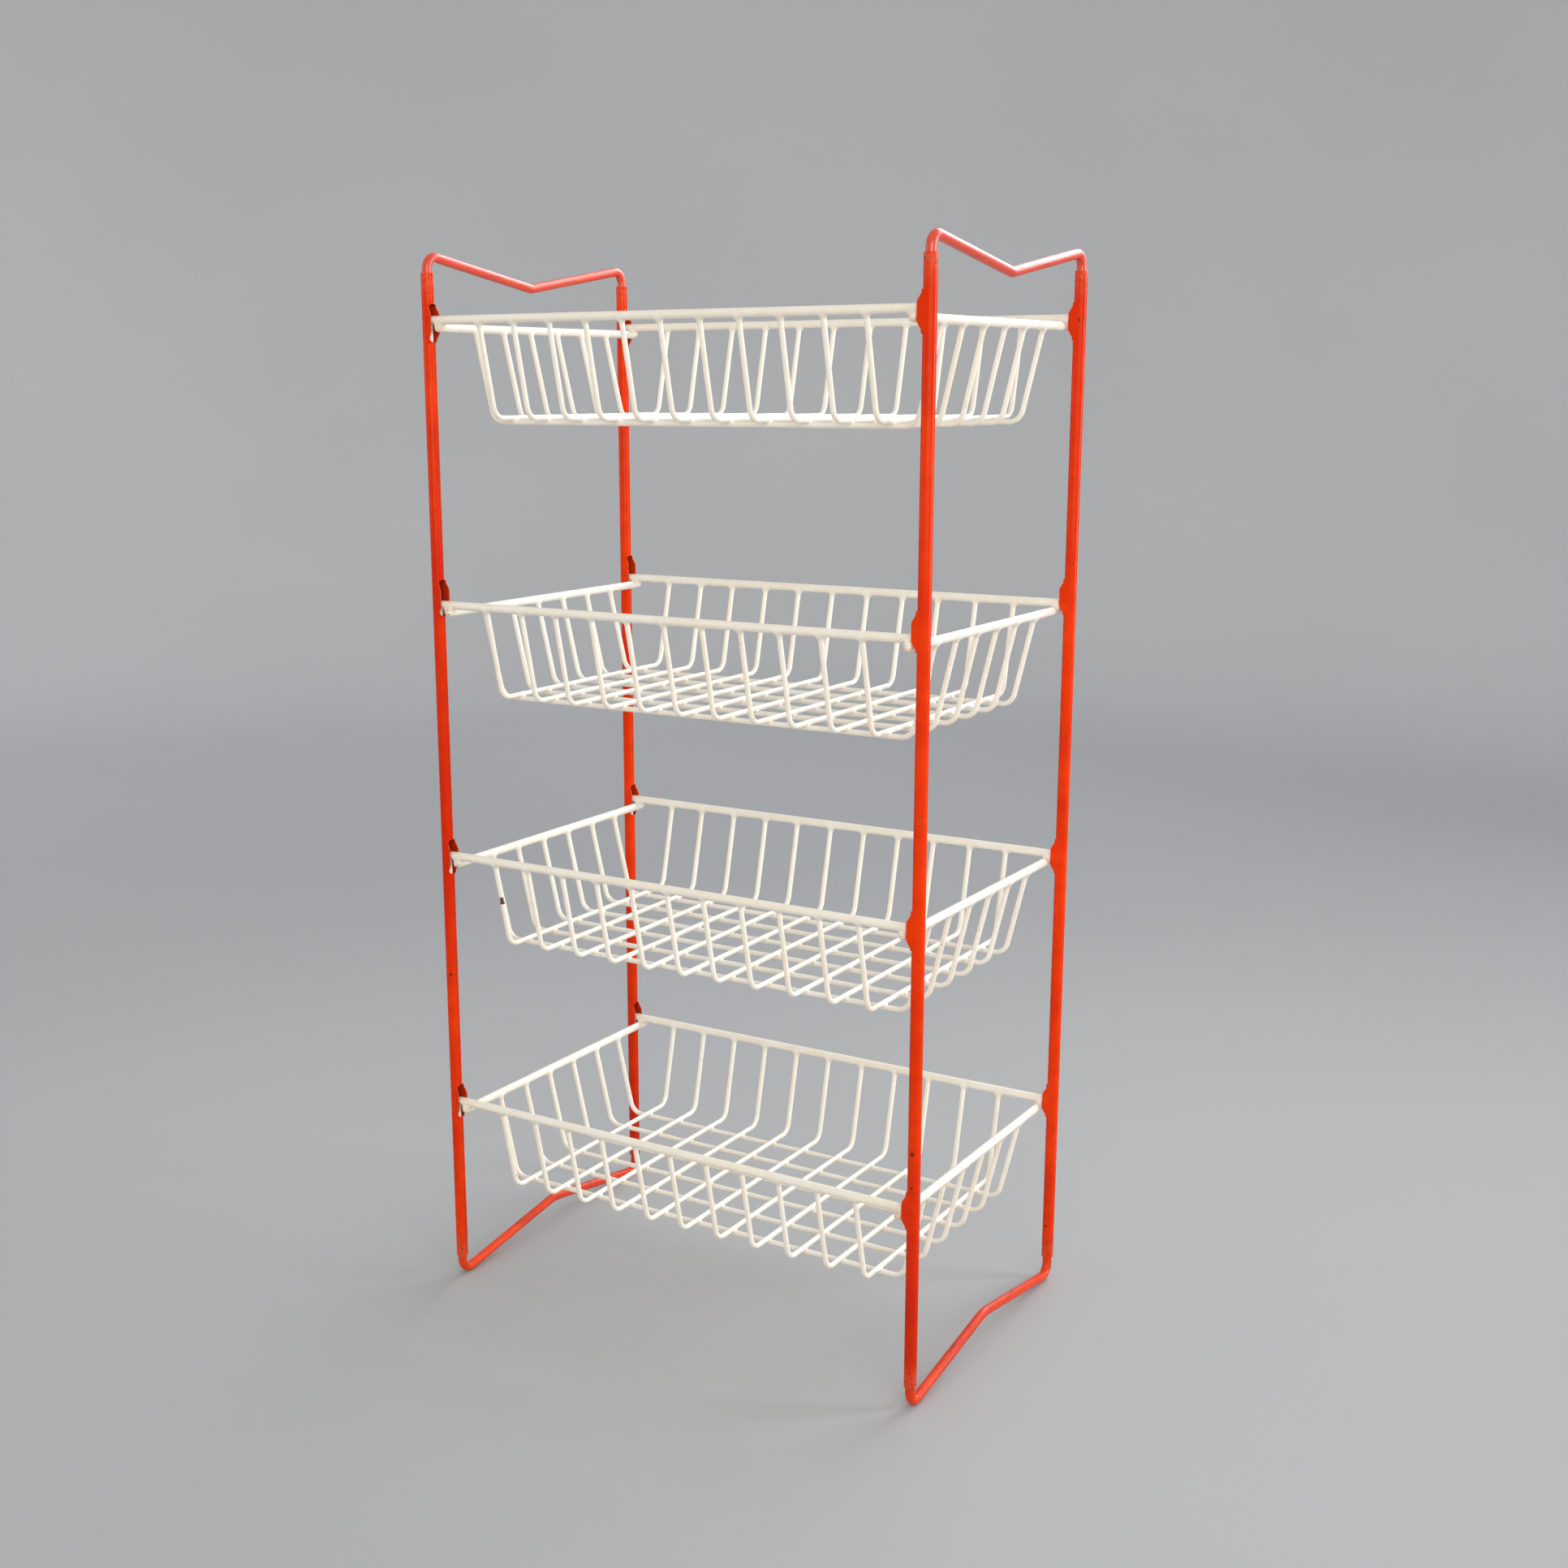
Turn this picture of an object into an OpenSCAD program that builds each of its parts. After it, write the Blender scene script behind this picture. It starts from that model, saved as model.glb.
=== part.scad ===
// Four-tier wire basket rack. Two tubular side frames stand on bent foot rods, and four
// wire baskets hook into pockets in their posts and hold the frames apart.
// +X runs from the left frame to the right one, +Y from front to rear, +Z up.
// The origin is on the floor, at the middle of the plan.

/* [Side frames] */
// Distance between the left and right posts, centre to centre
post_span_x = 400; // [360:10:440]
// Distance between the front and rear posts, centre to centre
post_span_y = 241; // [229:1:265]
// Outside diameter of a post, which is a tube rolled from sheet
post_d = 9; // [8.8:0.1:9.4]
// Thickness of the post's sheet
post_sheet = 0.9; // [0.7:0.1:0.9]
// Height of a post's lower end above the floor
post_foot_z = 17; // [15:1:21]
// Height of a post's upper end above the floor
post_top_z = 774; // [772:1:790]
// Width of the open seam down the inner side of a post
post_seam = 1.2; // [0.8:0.1:2]

/* [Handle and foot rods] */
// Diameter of the rods
rod_d = 7; // [6.4:0.1:7]
// Radius of a rod's bends, to its centreline
rod_bend_r = 9; // [7:0.5:12]
// Depth of the V in the middle of a rod
rod_dip = 19; // [14:1:24]
// Height of a handle's corners above the posts' upper ends
handle_rise = 12.5; // [11:0.5:15]
// Length of a rod's upright ends, measured from its corners
rod_leg = 30; // [28:1:31]

/* [Pockets] */
// Height of the lowest pockets above the floor
pocket_first_z = 148; // [140:1:150]
// Height from one tier to the next
tier_pitch = 197; // [190:1:197]
// Height of a pocket
pocket_h = 26; // [26:1:30]
// Height of the rounded run at each end of a pocket
pocket_ramp = 8; // [5:0.5:9]
// Reach of a pocket's long ear from the post's centre
ear_reach = 6.8; // [5.6:0.1:7]
// Reach of a pocket's short lip from the post's centre
lip_reach = 5.2; // [4.8:0.1:5.6]

/* [Baskets] */
// Diameter of the rim rods with their coating
rim_d = 5.8; // [5.2:0.1:5.8]
// Diameter of the basket wires with their coating
wire_d = 3.6; // [3:0.1:4]
// Depth from the long rims down to the lowest wires
basket_depth = 72; // [60:1:80]
// How far each wall leans in between its rim and the floor
wall_lean = 16.4; // [8:0.1:20]
// Wires from front to rear in each basket
cross_wires_n = 11; // [7:2:11]
// Spacing of the wires from front to rear
cross_wire_pitch = 31; // [24:0.5:31]
// Wires from left to right in each basket
long_wires_n = 6; // [4:1:6]
// Spacing of the wires from left to right
long_wire_pitch = 32.5; // [26:0.5:33]
// Radius of the wires' bends, to their centreline
wire_bend_r = 10.5; // [6:0.5:11]
// Distance of the short rims from the posts' centres
short_rim_inset = 10.5; // [10.5:0.5:14]
// Length of the hooks that the long rims end in
hook_len = 16.5; // [15:0.5:18]

/* [Hidden] */
$fn = 48;
half_x = post_span_x / 2;
half_y = post_span_y / 2;
post_r = post_d / 2;
bore_r = post_r - post_sheet;

// A pocket's two flanges and the window between them.
flange_out = post_r - 0.1;
flange_in = flange_out - post_sheet;
window_w = 2 * flange_in - 0.4;
flange_foot = 2;
ramp_steps = 8;

// How much thicker a bend is than its rod, and how far the straight runs reach into it.
bend_swell = 0.04;
bend_lap = 0.3;

// The two rods of a frame are alike, and a foot rod stands with its corners on the floor.
dip_angle = atan(rod_dip / half_y);
corner_drop = rod_bend_r * (tan(dip_angle) + 1 / cos(dip_angle) - 1);
foot_corner_z = (rod_d + bend_swell) / 2 - corner_drop;
handle_corner_z = post_top_z + handle_rise;

// Welded rods and wires sink into each other a little.
weld_sink = 0.4;
hook_bend_r = 4;
short_rim_z = -(rim_d - weld_sink);
short_rim_x = half_x - short_rim_inset;
wire_top_drop = rim_d * 0.4;
wire_top_inset = 0.7;
cross_floor_z = -basket_depth + wire_d - weld_sink;

// How far each basket sits above or below the middle of its pockets, from the bottom up.
TIERS = ["bottom", "lower", "upper", "top"];
basket_seat = [0, 1, -5, 2];

FRAME_NODES = [
    "left_front_post", "left_rear_post", "right_front_post", "right_rear_post",
    "left_handle_rod", "right_handle_rod", "left_foot_rod", "right_foot_rod"];
BASKET_NODES = ["front_rim", "rear_rim", "left_rim", "right_rim", "cross_wires", "long_wires"];

function pocket_z(tier) = pocket_first_z + tier * tier_pitch;
function basket_z(tier) = pocket_z(tier) + basket_seat[tier];
function heading(from, to) = atan2(to[1] - from[1], to[0] - from[0]);
function turn_at(path, i) =
    let (raw = heading(path[i], path[i + 1]) - heading(path[i - 1], path[i]))
    raw > 180 ? raw - 360 : raw < -180 ? raw + 360 : raw;
function is_bend(path, i) = i > 0 && i < len(path) - 1;
function bend_run(path, i, r) = r * tan(abs(turn_at(path, i)) / 2);

// A round rod that follows a path in the XY plane, with an arc of radius r at each corner.
// The arcs are a hair thicker than the straight runs, whose ends lie just inside them.
module bent_rod(path, d, r) {
    for (i = [0 : len(path) - 2]) {
        start = is_bend(path, i) ? bend_run(path, i, r) - bend_lap : 0;
        finish = is_bend(path, i + 1) ? bend_run(path, i + 1, r) - bend_lap : 0;
        translate(path[i]) rotate([0, 90, heading(path[i], path[i + 1])])
            translate([0, 0, start])
                cylinder(h = norm(path[i + 1] - path[i]) - start - finish, d = d);
    }
    for (i = [1 : len(path) - 2]) {
        turn = turn_at(path, i);
        angle = heading(path[i - 1], path[i]);
        side = sign(turn);
        tangent = path[i] - bend_run(path, i, r) * [cos(angle), sin(angle)];
        translate(tangent + side * r * [-sin(angle), cos(angle)])
            rotate(side > 0 ? angle - 90 : angle + 90 + turn)
                rotate_extrude(angle = abs(turn)) translate([r, 0]) circle(d = d + bend_swell);
    }
}

// ---- Side frames ----

// Reach of a pocket's flange at height z from the pocket's middle.
function flange_reach(z, reach) =
    let (t = max(0, min(1, (pocket_h / 2 - abs(z)) / pocket_ramp)))
    flange_foot + (reach - flange_foot) * (1 - cos(180 * t)) / 2;

module flange_outline(reach) {
    step = pocket_ramp / ramp_steps;
    low = [for (i = [0 : ramp_steps]) -pocket_h / 2 + i * step];
    high = [for (i = [0 : ramp_steps]) pocket_h / 2 - pocket_ramp + i * step];
    edge = [for (z = concat(low, high)) [flange_reach(z, reach), z]];
    polygon(concat([[0, -pocket_h / 2]], edge, [[0, pocket_h / 2]]));
}

module flange(y_out, reach) {
    translate([0, y_out, 0]) rotate([90, 0, 0])
        linear_extrude(height = post_sheet) flange_outline(reach);
}

module pocket_window() {
    end_z = (pocket_h - window_w) / 2;
    translate([1, -window_w / 2, -end_z]) cube([2 * post_r, window_w, 2 * end_z]);
    for (z = [-end_z, end_z])
        translate([1, 0, z]) rotate([0, 90, 0]) cylinder(h = 2 * post_r, d = window_w);
}

// A post whose seam faces +X, with each pocket's long ear on its +Y side.
module post() {
    difference() {
        union() {
            translate([0, 0, post_foot_z]) cylinder(h = post_top_z - post_foot_z, r = post_r);
            for (tier = [0 : 3]) translate([0, 0, pocket_z(tier)]) {
                flange(flange_out, ear_reach);
                flange(-flange_in, lip_reach);
            }
        }
        translate([0, 0, post_foot_z - 1])
            cylinder(h = post_top_z - post_foot_z + 2, r = bore_r);
        translate([0, -post_seam / 2, post_foot_z - 1])
            cube([2 * post_r, post_seam, post_top_z - post_foot_z + 2]);
        for (tier = [0 : 3]) translate([0, 0, pocket_z(tier)]) pocket_window();
    }
}

// A rod in the YZ plane with its corners at z = 0 and its upright ends pointing down.
module frame_rod() {
    path = [[-half_y, -rod_leg], [-half_y, 0], [0, -rod_dip], [half_y, 0], [half_y, -rod_leg]];
    rotate([90, 0, 90]) bent_rod(path, rod_d, rod_bend_r);
}

module left_side() translate([-half_x, 0, 0]) children();
module right_side() translate([half_x, 0, 0]) rotate(180) children();

module left_front_post() color("#E8401A") left_side() translate([0, -half_y, 0]) post();
module left_rear_post() color("#E8401A") left_side() translate([0, half_y, 0]) post();
module right_front_post() color("#E8401A") right_side() translate([0, half_y, 0]) post();
module right_rear_post() color("#E8401A") right_side() translate([0, -half_y, 0]) post();

module handle_rod() color("#EE5A3C") translate([0, 0, handle_corner_z]) frame_rod();
module foot_rod() color("#EE5A3C") translate([0, 0, foot_corner_z]) mirror([0, 0, 1]) frame_rod();

// ---- Baskets, each drawn with its long rims at z = 0 ----

// A rim along X whose ends turn down into hooks. side is -1 at the front and 1 at the rear.
module long_rim(side) color("#F3ECDC") {
    path = [[-half_x, -hook_len], [-half_x, 0], [half_x, 0], [half_x, -hook_len]];
    translate([0, side * half_y, 0]) rotate([90, 0, 0]) bent_rod(path, rim_d, hook_bend_r);
}

// A rim along Y, welded under the long rims. side is -1 at the left and 1 at the right.
module short_rim(side) color("#F3ECDC")
    translate([side * short_rim_x, 0, short_rim_z]) rotate([90, 0, 0])
        cylinder(h = post_span_y + rim_d, d = rim_d, center = true);

// U wires from the front rim down, across the floor and up to the rear rim.
module cross_wires() color("#F7F1E4") {
    top = [half_y - wire_top_inset, -wire_top_drop];
    floor = [half_y - wall_lean, cross_floor_z];
    path = [[-top[0], top[1]], [-floor[0], floor[1]], floor, top];
    for (i = [0 : cross_wires_n - 1])
        translate([(i - (cross_wires_n - 1) / 2) * cross_wire_pitch, 0, 0])
            rotate([90, 0, 90]) bent_rod(path, wire_d, wire_bend_r);
}

// U wires from the left rim down, under the cross wires and up to the right rim.
module long_wires() color("#F7F1E4") {
    top = [short_rim_x - wire_top_inset, short_rim_z - wire_top_drop];
    floor = [short_rim_x - wall_lean, -basket_depth];
    path = [[-top[0], top[1]], [-floor[0], floor[1]], floor, top];
    for (i = [0 : long_wires_n - 1])
        translate([0, (i - (long_wires_n - 1) / 2) * long_wire_pitch, 0])
            rotate([90, 0, 0]) bent_rod(path, wire_d, wire_bend_r);
}

left_front_post();
left_rear_post();
right_front_post();
right_rear_post();
left_side() handle_rod();  // left_handle_rod
right_side() handle_rod();  // right_handle_rod
left_side() foot_rod();  // left_foot_rod
right_side() foot_rod();  // right_foot_rod

for (tier = [0 : 3]) translate([0, 0, basket_z(tier)]) {
    name = str(TIERS[tier], "_basket_");
    long_rim(-1);
    long_rim(1);
    short_rim(-1);
    short_rim(1);
    cross_wires();
    long_wires();
}
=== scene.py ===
import math
import random

import bpy
import numpy as np
from mathutils import Matrix, Vector, noise


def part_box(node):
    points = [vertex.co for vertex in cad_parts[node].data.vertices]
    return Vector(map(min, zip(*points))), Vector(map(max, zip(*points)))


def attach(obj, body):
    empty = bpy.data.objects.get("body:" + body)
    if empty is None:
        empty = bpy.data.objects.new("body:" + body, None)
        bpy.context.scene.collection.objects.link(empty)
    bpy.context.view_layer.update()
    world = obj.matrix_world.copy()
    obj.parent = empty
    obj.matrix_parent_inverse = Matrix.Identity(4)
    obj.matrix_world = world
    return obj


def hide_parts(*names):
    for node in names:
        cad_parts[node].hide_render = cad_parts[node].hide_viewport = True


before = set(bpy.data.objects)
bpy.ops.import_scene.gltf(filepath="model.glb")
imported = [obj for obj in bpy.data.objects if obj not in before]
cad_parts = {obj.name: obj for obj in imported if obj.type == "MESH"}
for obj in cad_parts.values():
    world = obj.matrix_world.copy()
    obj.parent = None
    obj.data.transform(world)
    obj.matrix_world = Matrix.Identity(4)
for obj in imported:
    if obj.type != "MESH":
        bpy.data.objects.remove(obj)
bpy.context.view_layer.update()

MM = 0.001
TIERS = ("bottom", "lower", "upper", "top")
X, Y, Z = np.eye(3)

# Sizes that a node's box doesn't give.
SHEET = 0.9             # thickness of the posts' rolled sheet
SEAM = 1.2              # open seam down a post
TIP_ANGLES = np.radians((45, 90, 135))      # points round each edge of the sheet
TIP_BULGE = 0.8         # how full those edges are; 1 would be half round
END_ROUND = 0.45        # height over which the sheet's upper and lower ends round off
END_STEPS = (0, 0.06, 0.2, END_ROUND)
END_THINNEST = 0.08     # share of the sheet's thickness that is left at its very end
LONGEST_STRIP = 22.0    # tallest row of faces on a post
SWELL = 0.05            # how much a post's radius varies
SWELL_LENGTH = 60.0     # over what height it does
LIP_SHORTER = 1.6       # how much less a pocket's short lip reaches than its long ear
POCKET_H = 26.0         # height of a pocket's ear
POCKET_PAST = 0.4       # how far past its ear a pocket's slot goes
POCKET_APART = 50.0     # less than the distance from pocket to pocket
POCKET_RAMP = 8.0       # height over which a pocket's ear comes out to its full reach
POCKET_END_R = 3.5      # how far from its end a pocket is fully open; the end is rounded
EAR_FOOT = 3.2          # length of the sheet's leg where an ear starts
ROD_R = 3.5             # radius of the handle and foot rods
ROD_BEND = 9.0          # radius of the rods' bends, to the centreline
ROD_DIP = 19.0          # depth of the V in a rod
HANDLE_V_BEND = 7.0     # radius at the point of a handle's V
FOOT_ARCH_BEND = 45.0   # radius at the top of a foot's arch
RIM_R = 2.9             # nominal radius of the basket rims with their coating
COATED_RIM_R = RIM_R + 0.2      # with coating that has run on thicker
HOOK_BEND = 4.0         # radius of the bends into the rims' hooks
WIRE_R = 1.8            # nominal radius of the basket wires with their coating
COATED_WIRE_R = WIRE_R + 0.1    # with coating that has run on thicker
WIRE_BEND = 10.5        # radius of the wires' bends
WIRE_BENDS_AT = (0.23, 0.77)    # where those are, as shares of a wire's length
WIRE_OFF = 0.6          # how far at most a wire is from its even place
DRIP_CHANCE = 0.3       # how likely a bend is to have a drip of coating
DRIP_LENGTH = 2.2
WALL_LEAN = 16.4        # how far a basket's wall leans in from its rim to its floor
WIRE_TOP_INSET = 0.7    # a wire's upper end, in from the rim's centreline
WIRE_TOP_DROP = 1.6     # and below it
WELD_SINK = 0.05        # how far the edge of a weld's fillet sinks into the rods
STAIN_SIZE = 6.5        # how far stains spread from the ends of the short rims
CHIP_TIER = "lower"     # the basket with a chip in the coating of its first cross wire
CHIP_AT = 30.0          # how far the chip is from the wire's front end
CHIP_LENGTH = 6.0
CHIP_DEPTH = 0.65
CHIP_EDGE = 0.8         # length over which a chip gets to its depth
STEP = 7.0              # distance between the rings of a basket's rods
CHIP_STEP = 1.0         # and of the wire with the chip

# Colours: linear red, green and blue, and alpha.
GRIME = (0.30, 0.022, 0.008, 1)
# Painted shade inside the posts' sheet; also the grime at the rods' joints.
INSIDE_SHADE_AND_JOINT_GRIME = (0.24, 0.026, 0.008, 1)
# Painted highlight along the posts' sheet edges; also paint lightened by rubbing.
PAINT_RUBBING_AND_EDGE_HIGHLIGHT = (0.88, 0.22, 0.10, 1)
PRIMER, PRIMER_RUST = (0.022, 0.012, 0.011, 1), (0.16, 0.035, 0.014, 1)
MOTTLE = (0.80, 0.70, 0.53, 1)
STAIN = (0.55, 0.33, 0.15, 1)
SPECK = (0.22, 0.10, 0.045, 1)
BARE_WIRE, WIRE_RUST = (0.030, 0.018, 0.014, 1), (0.20, 0.055, 0.02, 1)


# ---- Mesh helpers ----

def unit(v):
    v = np.asarray(v, float)
    return v / np.linalg.norm(v, axis=-1, keepdims=True)


def box_mm(node):
    """A CAD node's lowest and highest corners, in millimetres."""
    low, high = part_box(node)
    return np.array(low) / MM, np.array(high) / MM


def smooth(t):
    t = np.clip(t, 0, 1)
    return t * t * (3 - 2 * t)


def run_to(points, end, step):
    """Adds the points of a straight run from the last point to the end."""
    start = points[-1]
    count = max(1, round(float(np.linalg.norm(end - start)) / step))
    points.extend(start + (end - start) * k / count for k in range(1, count + 1))


def bent_line(corners, radii, step, turn_step=math.radians(7)):
    """A rod's centreline: straight runs joined by an arc of its own radius at each corner."""
    corners = [np.array(c, float) for c in corners]
    points = [corners[0]]
    for before, corner, after, radius in zip(corners, corners[1:], corners[2:], radii):
        ahead, turned = unit(corner - before), unit(after - corner)
        turn = math.acos(float(np.clip(ahead @ turned, -1, 1)))
        inward = unit(turned - ahead * (ahead @ turned))
        start = corner - ahead * radius * math.tan(turn / 2)
        run_to(points, start, step)
        count = max(4, round(turn / turn_step))
        for k in range(1, count + 1):
            a = turn * k / count
            arc = inward * (1 - math.cos(a)) + ahead * math.sin(a)
            points.append(start + radius * arc)
    run_to(points, corners[-1], step)
    return np.array(points)


def tube_faces(rows, sides):
    """The faces between one ring of points and the next."""
    a = np.arange(sides)
    b = (a + 1) % sides
    faces = []
    for row in range(rows - 1):
        low, high = row * sides, (row + 1) * sides
        faces += np.stack([low + a, low + b, high + b, high + a], 1).tolist()
    return faces


def closed_grid(rings, first_pole, last_pole):
    """A closed surface through rings of points, with a pole at each end."""
    rows, sides, _ = rings.shape
    vertices = np.concatenate([rings.reshape(-1, 3), [first_pole, last_pole]])
    last, end = (rows - 1) * sides, rows * sides
    faces = tube_faces(rows, sides)
    faces += [[end, (k + 1) % sides, k] for k in range(sides)]
    faces += [[end + 1, last + k, last + (k + 1) % sides] for k in range(sides)]
    return vertices, faces


def lumpy(line, seed):
    """Slow, seeded variation along a line, from about -1 to 1."""
    size, shift, gain = 14.0, 37.7, 1.6
    return np.array([noise.noise(Vector((p + seed * shift) / size)) for p in line]) * gain


def distance_along(line):
    return np.concatenate([[0], np.cumsum(np.linalg.norm(np.diff(line, axis=0), axis=1))])


def rod(line, radius, across, sides, dome, lumps, seed, flatten=0.0):
    """A closed round rod along a flat line. across is square to the line's plane, dome is how
    far the ends bulge as a share of the radius, lumps is how much the coating's thickness
    varies, and flatten is how much the bends flatten."""
    along = distance_along(line)
    ahead = unit(np.gradient(line, along, axis=0))
    out = np.cross(across, ahead)
    radii = radius * np.ones(len(line)) + lumps * lumpy(line, seed)
    bend = np.linalg.norm(np.gradient(ahead, along, axis=0), axis=1)
    bend = np.convolve(bend / max(bend.max(), 1e-9), [0.25, 0.5, 0.25], "same")
    a = np.linspace(0, 2 * math.pi, sides, endpoint=False)[None, :, None]
    wide = (radii * (1 + flatten * bend))[:, None, None]
    thick = (radii * (1 - flatten * bend))[:, None, None]
    body = line[:, None] + wide * np.cos(a) * across + thick * np.sin(a) * out[:, None]

    def end_rings(end, way):
        """The rings of a domed end, from the body out to the pole."""
        return [line[end] + way * ahead[end] * dome * radii[end] * math.sin(s)
                + radii[end] * math.cos(s) * (np.cos(a[0]) * across + np.sin(a[0]) * out[end])
                for s in map(math.radians, (20, 40, 58, 74))]

    rings = np.concatenate([end_rings(0, -1)[::-1], body, end_rings(-1, 1)])
    poles = [line[end] + way * ahead[end] * dome * radii[end] for end, way in ((0, -1), (-1, 1))]
    return closed_grid(rings, *poles)


def distance_to_rod(points, start, end, radius):
    along = end - start
    t = np.clip((points - start) @ along / (along @ along), 0, 1)
    return np.linalg.norm(points - start - t[..., None] * along, axis=-1) - radius


def weld(centre, rods, fillet, reach, rows=10, sides=20):
    """The coating that gathers where two rods meet. Its surface is the rods' own, blended
    over the fillet, and is found along rays from the centre by halving the reach."""
    polar = np.linspace(0, math.pi, rows + 2)[:, None, None]
    around = np.linspace(0, 2 * math.pi, sides, endpoint=False)[None, :, None]
    ways = (np.sin(polar) * (np.cos(around) * X + np.sin(around) * Y)
            + np.cos(polar) * np.ones_like(around) * Z)
    near, far = np.zeros(ways.shape[:2]), np.full(ways.shape[:2], float(reach))
    for _ in range(16):
        middle = (near + far) / 2
        at = centre + ways * middle[..., None]
        first, second = (distance_to_rod(at, *r) for r in rods)
        share = np.maximum(fillet - abs(first - second), 0) / fillet
        outside = np.minimum(first, second) - share * share * fillet / 4 > 0
        near, far = np.where(outside, near, middle), np.where(outside, middle, far)
    points = centre + ways * far[..., None]
    return closed_grid(points[1:-1], points[0, 0], points[-1, 0])


def moved(shell, offset):
    return shell[0] + np.asarray(offset, float), shell[1]


def near_points(places, size):
    """A mask that is 1 at the places and fades over the size."""
    def mask(points):
        gaps = [np.linalg.norm(points - np.asarray(p), axis=1) for p in places]
        return np.exp(-(np.min(gaps, axis=0) / size) ** 2)
    return mask


def add_piece(name, shells, material, body, nodes=(), masks=None):
    """Makes one mesh piece of closed shells, riding on its body and standing for its nodes.
    masks are values for the vertices, or functions of them, that the materials read."""
    vertices, faces, start = [], [], 0
    for points, polygons in shells:
        vertices.append(points)
        faces += [[start + i for i in polygon] for polygon in polygons]
        start += len(points)
    vertices = np.concatenate(vertices)
    mesh = bpy.data.meshes.new(name)
    mesh.from_pydata((vertices * MM).tolist(), [], faces)
    mesh.update()
    mesh.shade_smooth()
    for key, mask in (masks or {}).items():
        values = mask(vertices) if callable(mask) else mask
        layer = mesh.attributes.new(key, "FLOAT", "POINT")
        layer.data.foreach_set("value", np.asarray(values, np.float32))
    mesh.materials.append(material)
    piece = bpy.data.objects.new(name, mesh)
    bpy.context.scene.collection.objects.link(piece)
    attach(piece, body)
    if nodes:
        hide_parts(*nodes)


# ---- Materials ----

class Tree:
    """Builds one material's nodes around a Principled shader."""

    def __init__(self, name):
        self.material = bpy.data.materials.new(name)
        self.material.use_nodes = True
        self.nodes = self.material.node_tree.nodes
        self.links = self.material.node_tree.links
        self.shader = self.nodes["Principled BSDF"]
        self.place = self.nodes.new("ShaderNodeTexCoord").outputs["Object"]

    def add(self, kind, inputs=(), **settings):
        node = self.nodes.new(kind)
        for key, value in settings.items():
            setattr(node, key, value)
        for socket, value in dict(inputs).items():
            self.put(node.inputs[socket], value)
        return node

    def put(self, socket, value):
        if isinstance(value, bpy.types.NodeSocket):
            self.links.new(value, socket)
        else:
            socket.default_value = value

    def noise(self, scale, detail, rough=0.5, warp=0.0):
        node = self.add("ShaderNodeTexNoise", {
            "Vector": self.place, "Scale": scale, "Detail": detail,
            "Roughness": rough, "Distortion": warp})
        return node.outputs["Fac"]

    def calc(self, operation, a, b, clamp=False):
        node = self.add("ShaderNodeMath", {0: a, 1: b}, operation=operation, use_clamp=clamp)
        return node.outputs[0]

    def step(self, value, low, high, to_low=0.0, to_high=1.0):
        """As value goes from low to high, this goes smoothly from to_low to to_high, and no
        further."""
        node = self.add("ShaderNodeMapRange", {
            "Value": value, "From Min": low, "From Max": high,
            "To Min": to_low, "To Max": to_high}, interpolation_type="SMOOTHSTEP")
        return node.outputs["Result"]

    def mix(self, share, first, second):
        node = self.add("ShaderNodeMix", data_type="RGBA")
        for socket, value in zip((node.inputs[0], node.inputs[6], node.inputs[7]),
                                 (share, first, second)):
            self.put(socket, value)
        return node.outputs[2]

    def mask(self, name):
        return self.add("ShaderNodeAttribute", attribute_name=name).outputs["Fac"]

    def height(self):
        return self.add("ShaderNodeSeparateXYZ", {0: self.place}).outputs["Z"]

    def spots(self, places):
        """1 inside small ragged spots, each (x, y, z, radius) in metres, and 0 elsewhere."""
        ragged = 0.0024
        wobble = self.add("ShaderNodeTexNoise", {
            "Vector": self.place, "Scale": 420.0, "Detail": 2.0})
        offset = self.add("ShaderNodeVectorMath", {
            0: wobble.outputs["Color"], 1: (0.5, 0.5, 0.5)}, operation="SUBTRACT")
        offset = self.add("ShaderNodeVectorMath", {
            0: offset.outputs[0], "Scale": ragged}, operation="SCALE")
        here = self.add("ShaderNodeVectorMath", {
            0: self.place, 1: offset.outputs[0]}, operation="ADD").outputs[0]
        total = None
        for x, y, z, radius in places:
            away = self.add("ShaderNodeVectorMath", {
                0: here, 1: (x, y, z)}, operation="DISTANCE").outputs["Value"]
            spot = self.step(away, radius * 0.75, radius * 1.1, 1.0, 0.0)
            total = spot if total is None else self.calc("MAXIMUM", total, spot)
        return total

    def bump(self, height, strength, distance, under=None):
        inputs = {"Height": height, "Strength": strength, "Distance": distance}
        if under is not None:
            inputs["Normal"] = under
        return self.add("ShaderNodeBump", inputs).outputs["Normal"]

    def finish(self, colour, roughness, normal, coat=0.0, coat_roughness=0.1, level=0.5):
        values = {"Base Color": colour, "Roughness": roughness, "Normal": normal,
                  "Coat Weight": coat, "Coat Roughness": coat_roughness,
                  "Specular IOR Level": level}
        for socket, value in values.items():
            self.put(self.shader.inputs[socket], value)
        return self.material


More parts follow.
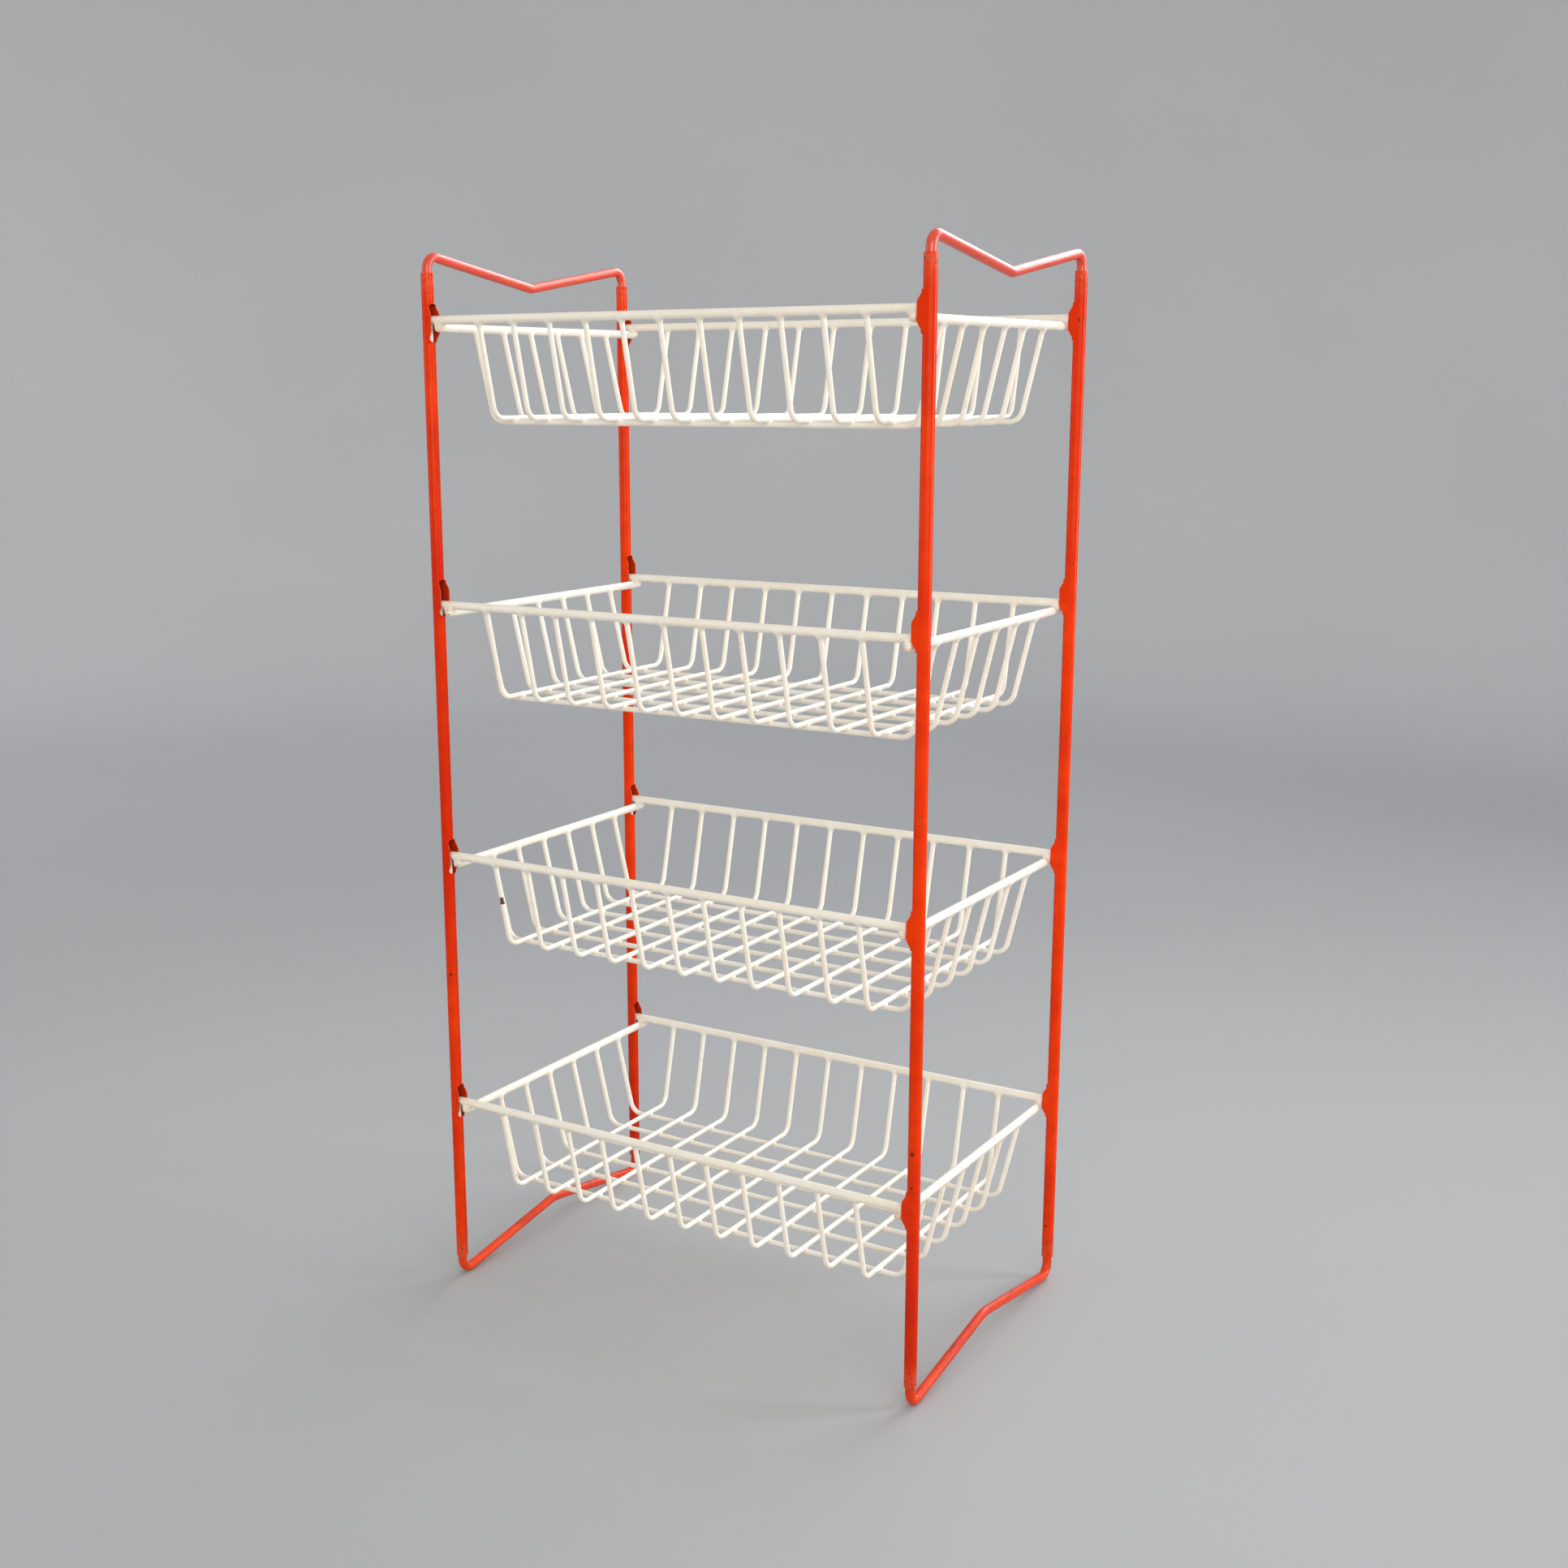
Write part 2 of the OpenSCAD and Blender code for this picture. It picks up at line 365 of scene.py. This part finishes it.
def paint(name, bright, deep, gloss, foot_z, shine):
    """Old gloss enamel on steel: uneven film, orange peel, edge wear with a painted highlight
    along the posts' sheet edges, painted shade on the sheet's inner face, and chips to dark
    primer.
    gloss is its least roughness, foot_z is where the grime is thickest, and shine is its
    specular level, its coat and the coat's roughness."""
    t = Tree(name)
    patches = t.step(t.noise(7.0, 4.0, 0.6, 0.4), 0.3, 0.7)
    colour = t.mix(patches, bright, deep)
    streaks = t.step(t.noise(60.0, 3.0, 0.6), 0.35, 0.75, 0.0, 0.5)
    colour = t.mix(streaks, colour, deep)
    # Grime gathers towards the floor.
    low = t.step(t.height(), foot_z, foot_z + 0.35, 0.35, 0.0)
    grime = t.calc("MULTIPLY", low, t.step(t.noise(45.0, 4.0, 0.65), 0.3, 0.7))
    colour = t.mix(grime, colour, GRIME)
    # Painted shade: the inner face of the posts' sheet, in the bore and the pockets, is painted
    # darker to stand in for the shade in there. On the rods the same mask is a dark line of
    # grime where they go into the posts.
    colour = t.mix(t.calc("MULTIPLY", t.mask("inside"), 0.6), colour, INSIDE_SHADE_AND_JOINT_GRIME)
    # Painted highlight and rubbing: the posts' sheet edges and ends are painted lighter, partly
    # to stand in for the highlights along them and partly as paint lightened by rubbing; the
    # rods are lighter where hands and the floor rub them. Worn-through spots show primer and
    # rust.
    wear = t.mask("wear")
    ragged = t.noise(320.0, 4.0, 0.7)
    rubbing_and_highlight = t.calc("MULTIPLY", wear, t.step(ragged, 0.35, 0.6))
    colour = t.mix(t.calc("MULTIPLY", rubbing_and_highlight, 0.5), colour, PAINT_RUBBING_AND_EDGE_HIGHLIGHT)
    worn = t.step(t.calc("ADD", ragged, t.calc("MULTIPLY", wear, 0.16)), 0.71, 0.76)
    specks = t.step(t.noise(520.0, 1.0, 0.4), 0.745, 0.775)
    bare = t.calc("MAXIMUM", t.calc("MAXIMUM", worn, specks), t.spots(PAINT_CHIPS))
    rust = t.mix(t.noise(700.0, 2.0), PRIMER, PRIMER_RUST)
    colour = t.mix(bare, colour, rust)
    rough = t.step(t.noise(38.0, 4.0, 0.6), 0.3, 0.75, gloss, gloss + 0.16)
    rough = t.calc("ADD", rough, t.calc("MULTIPLY", bare, 0.45), clamp=True)
    peel = t.bump(t.noise(900.0, 2.0), 0.10, 0.0004)
    sags = t.bump(t.noise(130.0, 2.0), 0.14, 0.0006, peel)
    normal = t.bump(t.calc("MULTIPLY", bare, -1.0), 0.6, 0.0003, sags)
    level, coat, coat_roughness = shine
    return t.finish(colour, rough, normal, coat, coat_roughness, level)


def coating(name, light, cream, shift):
    """Thick dipped plastic on wire: soft sheen, slow lumps, yellowed and stained at the ends.
    shift moves the pattern, so that two coatings don't show the same one."""
    t = Tree(name)
    t.place = t.add("ShaderNodeVectorMath", {0: t.place, 1: (shift, shift * 1.7, 0)},
                    operation="ADD").outputs[0]
    clouds = t.step(t.noise(9.0, 4.0, 0.6, 0.5), 0.3, 0.72)
    colour = t.mix(clouds, light, cream)
    mottle = t.step(t.noise(90.0, 3.0, 0.6), 0.4, 0.75, 0.0, 0.3)
    colour = t.mix(mottle, colour, MOTTLE)
    stain = t.mask("stain")
    tinted = t.calc("MULTIPLY", stain, t.step(t.noise(160.0, 4.0, 0.7), 0.32, 0.62))
    colour = t.mix(t.calc("MULTIPLY", tinted, 0.6), colour, STAIN)
    specks = t.step(t.calc("ADD", t.noise(430.0, 2.0, 0.5), t.calc("MULTIPLY", stain, 0.10)),
                    0.74, 0.78)
    colour = t.mix(t.calc("MULTIPLY", specks, 0.75), colour, SPECK)
    # The coating is gone where it has chipped, down to rusty wire.
    bare = t.step(t.mask("bare"), 0.34, 0.46)
    rust = t.mix(t.noise(800.0, 3.0), BARE_WIRE, WIRE_RUST)
    colour = t.mix(bare, colour, rust)
    rough = t.step(t.noise(55.0, 3.0, 0.6), 0.3, 0.7, 0.26, 0.42)
    rough = t.calc("ADD", rough, t.calc("MULTIPLY", bare, 0.4), clamp=True)
    lumps = t.bump(t.noise(210.0, 2.0), 0.16, 0.0006)
    normal = t.bump(t.noise(1100.0, 2.0), 0.08, 0.0002, lumps)
    material = t.finish(colour, rough, normal, coat=0.15, coat_roughness=0.2)
    t.shader.inputs["Subsurface Weight"].default_value = 0.12
    t.shader.inputs["Subsurface Radius"].default_value = (1.0, 0.8, 0.55)
    t.shader.inputs["Subsurface Scale"].default_value = 0.0012
    return material


# ---- Side frames ----

def post_section(open_share, legs, thickness):
    """One slice through a post's sheet, as a closed loop of points in plan: a half tube at
    the back, and two legs that run from curled shut (0) to straight out (1)."""
    radius = POST_R - SHEET / 2
    back = np.linspace(math.pi / 2, math.pi * 3 / 2, 25)
    middle = np.stack([np.cos(back), np.sin(back)], 1) * radius
    normal = middle / radius
    curl = (1 - open_share) / radius
    sides = []
    for leg in legs:
        run = np.linspace(0, leg, 11)[1:]
        turn = curl * run
        forward = run if curl < 1e-5 else np.sin(turn) / curl
        fall = np.zeros_like(run) if curl < 1e-5 else (1 - np.cos(turn)) / curl
        sides.append((np.stack([forward, radius - fall], 1),
                      np.stack([np.sin(turn), np.cos(turn)], 1)))
    (ear, ear_out), (lip, lip_out) = sides
    lip, lip_out = lip * (1, -1), lip_out * (1, -1)
    middle = np.concatenate([ear[::-1], middle, lip])
    normal = np.concatenate([ear_out[::-1], normal, lip_out])
    half = thickness / 2

    def tip(end, before, side):
        """The rounded edge at one end of the slice, round from that side of the sheet."""
        ahead = np.array([normal[end][1], -normal[end][0]])
        if ahead @ (middle[end] - middle[before]) < 0:
            ahead = -ahead
        return [middle[end] + half * (side * math.cos(a) + TIP_BULGE * ahead * math.sin(a))
                for a in TIP_ANGLES]

    outer, inner = middle + normal * half, middle - normal * half
    return np.concatenate([outer, tip(-1, -2, normal[-1]), inner[::-1], tip(0, 1, -normal[0])])


def sheet_ends(rows, across, tips):
    """The faces that close a post's sheet at its lower and upper end. Its rings are made of
    that many outer points, a tip, as many inner points the other way round, and a tip."""
    sides = 2 * (across + tips)
    inner = [2 * across + tips - 1 - k for k in range(across)]
    lower = [[k, inner[k], inner[k + 1], k + 1] for k in range(across - 1)]
    lower.append([across - 1, inner[-1]] + [across + tips - 1 - j for j in range(tips)])
    lower.append([inner[0], 0] + [sides - 1 - j for j in range(tips)])
    last = (rows - 1) * sides
    return lower + [[last + i for i in face[::-1]] for face in lower]


def pocket_heights(node, axis_x):
    """The middles of a post's pockets: where its CAD mesh reaches furthest from its axis."""
    points = np.array([v.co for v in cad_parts[node].data.vertices]) / MM
    far = np.sort(points[abs(points[:, 0] - axis_x) > POST_R + 1.0, 2])
    groups = np.split(far, np.flatnonzero(np.diff(far) > POCKET_APART) + 1)
    return [(g.min() + g.max()) / 2 for g in groups]


def post_rows(low, high, pockets):
    """Heights of a post's slices, close together at the ends of the pockets, with the share
    by which each is opened out, the share by which its ear has come out, and the share of
    the sheet's thickness it has."""
    heights = [low + a for a in END_STEPS] + [high - a for a in END_STEPS]
    half = POCKET_H / 2 + POCKET_PAST
    fully_open = half - POCKET_END_R
    ends = list(fully_open + POCKET_END_R * np.sin(np.radians(range(0, 91, 10)))) + [half + 0.5]
    ramp = list(np.linspace(POCKET_H / 2 - POCKET_RAMP, fully_open, 8)[:-1])
    for middle in pockets:
        heights += [middle + way * a for way in (-1, 1) for a in ends + ramp] + [middle]
    heights = sorted(heights)
    full = [heights[0]]
    for z in heights[1:]:
        gap = z - full[-1]
        count = max(1, math.ceil(gap / LONGEST_STRIP))
        full += [full[-1] + gap * k / count for k in range(1, count + 1)]
    full = np.array(full)
    away = np.min([abs(full - p) for p in pockets], axis=0)
    opened = np.sqrt(1 - np.clip((away - fully_open) / POCKET_END_R, 0, 1) ** 2)
    out = smooth((POCKET_H / 2 - away) / POCKET_RAMP)
    to_end = np.clip(np.minimum(full - low, high - full) / END_ROUND, 0, 1)
    thick = np.sqrt(np.clip(1 - (1 - to_end) ** 2, END_THINNEST, 1))
    return full, opened, out, thick


def add_post(node, seed):
    """A tube rolled from sheet, whose seam opens out into an ear and a lip at each pocket."""
    low, high = box_mm(node)
    left = low[0] < 0
    axis = np.array([low[0] + POST_R if left else high[0] - POST_R, (low[1] + high[1]) / 2])
    ear_reach = (high[0] - axis[0]) if left else (axis[0] - low[0])
    closed = math.pi / 2 * (POST_R - SHEET / 2) - SEAM / 2
    heights, opened, out, thick = post_rows(low[2], high[2], pocket_heights(node, axis[0]))
    rings = []
    for z, share, ear_out, thickness in zip(heights, opened, out, thick):
        legs = [closed + (EAR_FOOT + (reach - EAR_FOOT) * ear_out - closed) * share
                for reach in (ear_reach, ear_reach - LIP_SHORTER)]
        plan = post_section(share, legs, SHEET * thickness)
        swell = SWELL * noise.noise(Vector((z / SWELL_LENGTH, seed, 0)))
        plan = plan * (1 + swell / POST_R)
        ring = np.column_stack([plan, np.full(len(plan), z)])
        if not left:
            ring = ring * (-1, -1, 1)
        rings.append(ring + (axis[0], axis[1], 0))
    rings = np.array(rings)
    rows, sides, _ = rings.shape
    vertices = rings.reshape(-1, 3)
    tips = len(TIP_ANGLES)
    across = sides // 2 - tips
    faces = tube_faces(rows, sides) + sheet_ends(rows, across, tips)

    column = np.tile(np.arange(sides), rows)
    # The sheet's inner face, which the paint darkens as painted shade.
    inside = ((column >= across + tips) & (column < 2 * across + tips)).astype(float)
    # How far each point is round its ring from the nearer of the sheet's two edges.
    from_edge = np.minimum.reduce([abs(column - (across + 1)), abs(column - (sides - 2)),
                                   column + 2])
    # The wear mask is highest along the ears' edges and at the ends; the paint reads it as
    # rubbing and as a painted highlight along the edges.
    at_edge = np.clip(1 - from_edge / 3, 0, 1) * (0.25 + 0.75 * np.repeat(out, sides))
    z = vertices[:, 2]
    at_end = np.exp(-np.minimum(z - low[2], high[2] - z) / 1.6)
    add_piece(node.replace("_post", "_tube"), [(vertices, faces)], POST_PAINT, "frame",
              [node],
              {"inside": inside, "wear": np.maximum(at_edge, at_end)})


def add_frame_rod(node, seed):
    """A handle or foot rod: two upright ends joined by a wide V."""
    low, high = box_mm(node)
    handle = "handle" in node
    up = 1 if handle else -1
    centre_x = (low[0] + high[0]) / 2
    far_y = high[1] - ROD_R
    # The bends round off the corners of the V, so that these lie further out than the rod.
    dip = math.atan(ROD_DIP / far_y)
    rounded_off = ROD_BEND * (math.tan(dip) + 1 / math.cos(dip) - 1)
    corner = (high[2] if handle else low[2]) - up * (ROD_R - rounded_off)
    tail = low[2] if handle else high[2]
    corners = [(centre_x, -far_y, tail), (centre_x, -far_y, corner),
               (centre_x, 0, corner - up * ROD_DIP),
               (centre_x, far_y, corner), (centre_x, far_y, tail)]
    middle = HANDLE_V_BEND if handle else FOOT_ARCH_BEND
    line = bent_line(corners, [ROD_BEND, middle, ROD_BEND], 6.0, turn_step=math.radians(5))
    shell = rod(line, ROD_R, X, sides=24, dome=0.25, lumps=0.03, seed=seed, flatten=0.025)
    post_end = box_mm("left_front_post")[1 if handle else 0][2]

    def joint(points):
        """A dark line of grime where the rod goes into the post."""
        return np.exp(-((points[:, 2] - post_end - up * 0.3) / 0.45) ** 2)

    def wear(points):
        """The feet are scuffed where they stand, and the handles where hands hold them."""
        if handle:
            grip = np.exp(-(points[:, 1] / 45) ** 2) * smooth((points[:, 2] - corner + 20) / 6)
            return 0.25 * grip
        return smooth(1 - points[:, 2] / 2.4) * 0.9

    add_piece(node + "_bar", [shell], HANDLE_PAINT if handle else FOOT_PAINT, "frame",
              [node], {"wear": wear, "inside": joint})


# ---- Baskets ----

class Basket:
    """A wire basket: two long rims that end in hooks, two short rims under them, and two
    layers of U-shaped wires, all coated after welding."""

    def __init__(self, tier, seed):
        self.tier, self.seed = tier, seed
        self.body = tier + "_basket"
        self.rand = random.Random(seed)
        front_low, front_high = box_mm(self.body + "_front_rim")
        rear_low, rear_high = box_mm(self.body + "_rear_rim")
        left_low, left_high = box_mm(self.body + "_left_rim")
        right_low, right_high = box_mm(self.body + "_right_rim")
        cross_low, cross_high = box_mm(self.body + "_cross_wires")
        long_low, long_high = box_mm(self.body + "_long_wires")
        # The rims' centrelines, and the ends of their hooks.
        self.front_y = (front_low[1] + front_high[1]) / 2
        self.rear_y = (rear_low[1] + rear_high[1]) / 2
        self.left_x = (left_low[0] + left_high[0]) / 2
        self.right_x = (right_low[0] + right_high[0]) / 2
        self.rim_z = front_high[2] - RIM_R
        self.short_y = (left_low[1], left_high[1])
        self.short_z = (left_low[2] + left_high[2]) / 2
        self.hook_x = (front_low[0] + RIM_R, front_high[0] - RIM_R)
        self.hook_z = front_low[2]
        # The wires' centrelines: where each runs, its floor, and its upper ends.
        cross_x = np.linspace(cross_low[0] + WIRE_R, cross_high[0] - WIRE_R, 11)
        long_y = np.linspace(long_low[1] + WIRE_R, long_high[1] - WIRE_R, 6)
        self.cross_x = [x + self.rand.uniform(-WIRE_OFF, WIRE_OFF) for x in cross_x]
        self.long_y = [y + self.rand.uniform(-WIRE_OFF, WIRE_OFF) for y in long_y]
        self.cross_z, self.long_z = cross_low[2] + WIRE_R, long_low[2] + WIRE_R
        self.floor_y, self.floor_x = self.rear_y - WALL_LEAN, self.right_x - WALL_LEAN
        self.top_y, self.top_x = self.rear_y - WIRE_TOP_INSET, self.right_x - WIRE_TOP_INSET
        self.cross_top = self.rim_z - WIRE_TOP_DROP
        self.long_top = self.short_z - WIRE_TOP_DROP
        self.stain = near_points([(x, y, self.short_z) for x in (self.left_x, self.right_x)
                                  for y in self.short_y], STAIN_SIZE)

    def add_rim(self, side, shell):
        add_piece(f"{self.body}_{side}_rim_rod", [shell], RIM_COATING, self.body,
                  [f"{self.body}_{side}_rim"], {"stain": self.stain})

    def add_rims(self):
        first, last = self.hook_x
        for side, y in (("front", self.front_y), ("rear", self.rear_y)):
            path = [(first, y, self.hook_z), (first, y, self.rim_z),
                    (last, y, self.rim_z), (last, y, self.hook_z)]
            line = bent_line(path, [HOOK_BEND] * 2, STEP, turn_step=math.radians(9))
            self.add_rim(side, rod(line, COATED_RIM_R, Y, sides=24, dome=0.3, lumps=0.04,
                                   seed=self.seed + y, flatten=0.02))
        dome = 0.5
        bulge = COATED_RIM_R * dome
        for side, x in (("left", self.left_x), ("right", self.right_x)):
            points = [np.array((x, self.short_y[0] + bulge, self.short_z))]
            run_to(points, np.array((x, self.short_y[1] - bulge, self.short_z)), 6.0)
            self.add_rim(side, rod(np.array(points), COATED_RIM_R, X, sides=24, dome=dome,
                                   lumps=0.04, seed=self.seed + x))

    def wire(self, line, across, seed, chip_at=None):
        """A wire whose coating has in places run into a small drip at a bend, and is
        broken away at a chip."""
        along = distance_along(line)
        radii = np.full(len(line), COATED_WIRE_R)
        if chip_at is not None:
            radii -= CHIP_DEPTH * smooth((CHIP_LENGTH / 2 - abs(along - chip_at)) / CHIP_EDGE)
        for bend_at in WIRE_BENDS_AT:
            if self.rand.random() < DRIP_CHANCE:
                drip = (bend_at + self.rand.uniform(-0.01, 0.01)) * along[-1]
                size = self.rand.uniform(0.2, 0.45)
                radii += size * np.exp(-((along - drip) / DRIP_LENGTH) ** 2)
        return rod(line, radii, across, sides=16, dome=0.2, lumps=0.05, seed=seed, flatten=0.02)

    def add_wires(self):
        cross, long, masks = [], [], {}
        for i, x in enumerate(self.cross_x):
            path = [(x, -self.top_y, self.cross_top), (x, -self.floor_y, self.cross_z),
                    (x, self.floor_y, self.cross_z), (x, self.top_y, self.cross_top)]
            chipped = self.tier == CHIP_TIER and i == 0
            line = bent_line(path, [WIRE_BEND] * 2, CHIP_STEP if chipped else STEP)
            if chipped:
                chip = line[np.searchsorted(distance_along(line), CHIP_AT)]
                masks = {"bare": near_points([chip], CHIP_LENGTH * 0.55)}
            cross.append(self.wire(line, X, self.seed + i, CHIP_AT if chipped else None))
        for i, y in enumerate(self.long_y):
            path = [(-self.top_x, y, self.long_top), (-self.floor_x, y, self.long_z),
                    (self.floor_x, y, self.long_z), (self.top_x, y, self.long_top)]
            line = bent_line(path, [WIRE_BEND] * 2, STEP)
            long.append(self.wire(line, Y, self.seed + 20 + i))
        add_piece(self.body + "_cross_wire_set", cross, WIRE_COATING, self.body,
                  [self.body + "_cross_wires"], masks)
        add_piece(self.body + "_long_wire_set", long, WIRE_COATING, self.body,
                  [self.body + "_long_wires"])

    def add_welds(self):
        # The rods are taken a little thinner than they are, so that the fillets' edges sink in.
        rim_r, wire_r = COATED_RIM_R - WELD_SINK, COATED_WIRE_R - WELD_SINK
        drop = self.cross_z - self.long_z
        pair = [(-9 * Y, 9 * Y, wire_r), (-9 * X - drop * Z, 9 * X - drop * Z, wire_r)]
        welds = [weld(np.array([0, 0, -drop / 2]), pair, fillet, 3.4)
                 for fillet in (1.5, 1.9, 2.4)]
        shells = [moved(self.rand.choice(welds), (x, y, self.cross_z))
                  for x in self.cross_x for y in self.long_y]

        def joints(rim_along, rim_at, wire_low, wire_top, places):
            """Fillets where the upper ends of wires meet a rim."""
            down = unit(wire_low - wire_top)
            rods = [(rim_at - 12 * rim_along, rim_at + 12 * rim_along, rim_r),
                    (wire_top, wire_top + 14 * down, wire_r)]
            for place in places:
                fillet = self.rand.uniform(3.0, 4.2)
                shell = weld(wire_top + down * 1.2, rods, fillet, 6.2, rows=12, sides=24)
                shells.append(moved(shell, place))

        for way in (-1, 1):
            joints(X, np.array([0, way * self.rear_y, self.rim_z]),
                   np.array([0, way * self.floor_y, self.cross_z]),
                   np.array([0, way * self.top_y, self.cross_top]),
                   [(x, 0, 0) for x in self.cross_x])
            joints(Y, np.array([way * self.right_x, 0, self.short_z]),
                   np.array([way * self.floor_x, 0, self.long_z]),
                   np.array([way * self.top_x, 0, self.long_top]),
                   [(0, y, 0) for y in self.long_y])
        for x in (self.left_x, self.right_x):
            for y, way in ((self.front_y, -1), (self.rear_y, 1)):
                corner = np.array([x, y, 0])
                above, below = corner + self.rim_z * Z, corner + self.short_z * Z
                rods = [(above - 12 * X, above + 12 * X, rim_r),
                        (below + way * 1.4 * Y, below - way * 14 * Y, rim_r)]
                centre = above - (self.rim_z - self.short_z) / 2 * Z
                fillet = self.rand.uniform(3.6, 4.6)
                shells.append(weld(centre, rods, fillet, 7.0, rows=16, sides=28))
        add_piece(self.body + "_weld_fillets", shells, WIRE_COATING, self.body,
                  masks={"stain": self.stain})


# ---- Stage, light and camera ----

def add_floor():
    """A plain pale floor that curves up into a plain wall, far off and all round."""
    flat, curve, top = 2.6, 1.6, 4.0
    profile = [(r, 0.0) for r in (0.6, 1.2, 1.8, flat)]
    profile += [(flat + curve * math.sin(a), curve * (1 - math.cos(a)))
                for a in np.radians(range(10, 91, 10))] + [(flat + curve, top)]
    sides = 72
    vertices = [(r * math.cos(2 * math.pi * k / sides), r * math.sin(2 * math.pi * k / sides), z)
                for r, z in profile for k in range(sides)] + [(0, 0, 0)]
    centre = len(vertices) - 1
    faces = [(centre, k, (k + 1) % sides) for k in range(sides)]
    for row in range(len(profile) - 1):
        low, high = row * sides, (row + 1) * sides
        for k in range(sides):
            n = (k + 1) % sides
            faces.append((low + k, high + k, high + n, low + n))
    mesh = bpy.data.meshes.new("studio_floor")
    mesh.from_pydata(vertices, [], faces)
    mesh.shade_smooth()
    t = Tree("studio_paper")
    away = t.add("ShaderNodeVectorMath", {0: t.place}, operation="LENGTH").outputs["Value"]
    # Painted light: the paper is painted lighter further out and up the wall, to stand in for
    # light on the wall; the middle is darker.
    tone = t.mix(t.step(away, 1.0, 3.1), (0.40, 0.405, 0.41, 1), (0.72, 0.73, 0.74, 1))
    tone = t.mix(t.step(t.noise(1.3, 2.0), 0.3, 0.7, 0.0, 0.08), tone, (0.46, 0.46, 0.46, 1))
    grain = t.bump(t.noise(700.0, 2.0), 0.05, 0.0003)
    mesh.materials.append(t.finish(tone, 0.8, grain, level=0.2))
    floor = bpy.data.objects.new("studio_floor", mesh)
    bpy.context.scene.collection.objects.link(floor)


def add_light(name, place, aim, size, power, colour, spread):
    """A soft lamp, in watts. A narrow spread, in degrees, keeps it off the wall beside it."""
    data = bpy.data.lights.new(name, "AREA")
    data.spread = math.radians(spread)
    data.shape = "RECTANGLE"
    data.size, data.size_y = size
    data.energy = power
    data.color = colour
    lamp = bpy.data.objects.new(name, data)
    lamp.location = place
    lamp.visible_camera = False
    lamp.rotation_euler = (Vector(aim) - Vector(place)).to_track_quat("-Z", "Y").to_euler()
    bpy.context.scene.collection.objects.link(lamp)


def add_studio():
    scene = bpy.context.scene
    world = bpy.data.worlds.new("studio")
    world.use_nodes = True
    world.node_tree.nodes["Background"].inputs["Color"].default_value = (0.92, 0.96, 1.0, 1)
    world.node_tree.nodes["Background"].inputs["Strength"].default_value = 0.62
    scene.world = world
    scene.view_settings.view_transform = "Standard"
    middle = (0, 0, 0.4)
    warm, cool = (1.0, 0.88, 0.75), (0.95, 0.97, 1.0)
    add_light("front_warm", (1.8, -2.3, 1.35), aim=middle, size=(3.0, 2.2), power=25,
              colour=warm, spread=104)
    add_light("left_fill", (-2.4, -1.3, 1.2), aim=middle, size=(1.6, 1.8), power=4,
              colour=cool, spread=100)
    add_light("back_cool", (0.35, 2.4, 1.95), aim=(0, 0, 0.62), size=(2.8, 1.9), power=15,
              colour=cool, spread=70)
    add_light("right_edge", (2.6, 1.5, 1.0), aim=middle, size=(0.8, 1.8), power=14,
              colour=cool, spread=90)


def add_camera():
    """The camera as it was solved from the photo's straight edges."""
    place = Vector((0.74163, -1.21535, 0.69503))
    forward = Vector((-0.51477, 0.82912, -0.21811)).normalized()
    right = Vector((0.84986, 0.52701, -0.00245))
    right = (right - forward * right.dot(forward)).normalized()
    turn = Matrix((right, right.cross(forward), -forward)).transposed()
    data = bpy.data.cameras.new("camera")
    data.lens = 44.18
    data.shift_x, data.shift_y = 0.0284, 0.0200
    data.clip_start = 0.05
    camera = bpy.data.objects.new("camera", data)
    camera.matrix_world = Matrix.Translation(place) @ turn.to_4x4()
    bpy.context.scene.collection.objects.link(camera)
    bpy.context.scene.camera = camera


POST_R = (box_mm("left_front_post")[1][1] - box_mm("left_front_post")[0][1]) / 2

# Places and radii of the chips in the posts' paint.
PAINT_CHIPS = [(0.1967, -0.1246, 0.668, 0.0012), (0.1962, -0.1245, 0.650, 0.0013),
               (0.2005, -0.1250, 0.190, 0.0016), (0.2003, -0.1250, 0.166, 0.0011),
               (-0.1978, -0.1245, 0.252, 0.0011), (0.1993, 0.1160, 0.044, 0.0014)]
POST_PAINT = paint("post_enamel", (0.84, 0.046, 0.0003, 1), (0.62, 0.020, 0.0003, 1),
                   gloss=0.20, foot_z=0.0, shine=(0.05, 0.14, 0.10))
# The handles and feet are one enamel. These copies differ to stand in for the different light on
# them: the feet's copy is painted a little more orange, and the handles' has more shine.
HANDLE_PAINT = paint("handle_enamel", (0.79, 0.050, 0.003, 1), (0.66, 0.034, 0.002, 1),
                     gloss=0.26, foot_z=-0.1, shine=(0.85, 0.20, 0.28))
FOOT_PAINT = paint("foot_enamel", (0.82, 0.062, 0.002, 1), (0.66, 0.036, 0.001, 1),
                   gloss=0.26, foot_z=-0.1, shine=(0.22, 0.06, 0.28))
RIM_COATING = coating("rim_dip_coating", (0.88, 0.86, 0.79, 1), (0.87, 0.82, 0.70, 1),
                      shift=0.0)
WIRE_COATING = coating("wire_dip_coating", (0.89, 0.87, 0.81, 1), (0.87, 0.82, 0.71, 1),
                       shift=0.31)

add_camera()
for number, post in enumerate(("left_front_post", "left_rear_post",
                               "right_front_post", "right_rear_post")):
    add_post(post, number * 5.0)
for number, part in enumerate(("left_handle_rod", "right_handle_rod",
                               "left_foot_rod", "right_foot_rod")):
    add_frame_rod(part, 30.0 + number)
for number, tier_name in enumerate(TIERS):
    basket = Basket(tier_name, 100 + number)
    basket.add_rims()
    basket.add_wires()
    basket.add_welds()
add_floor()
add_studio()
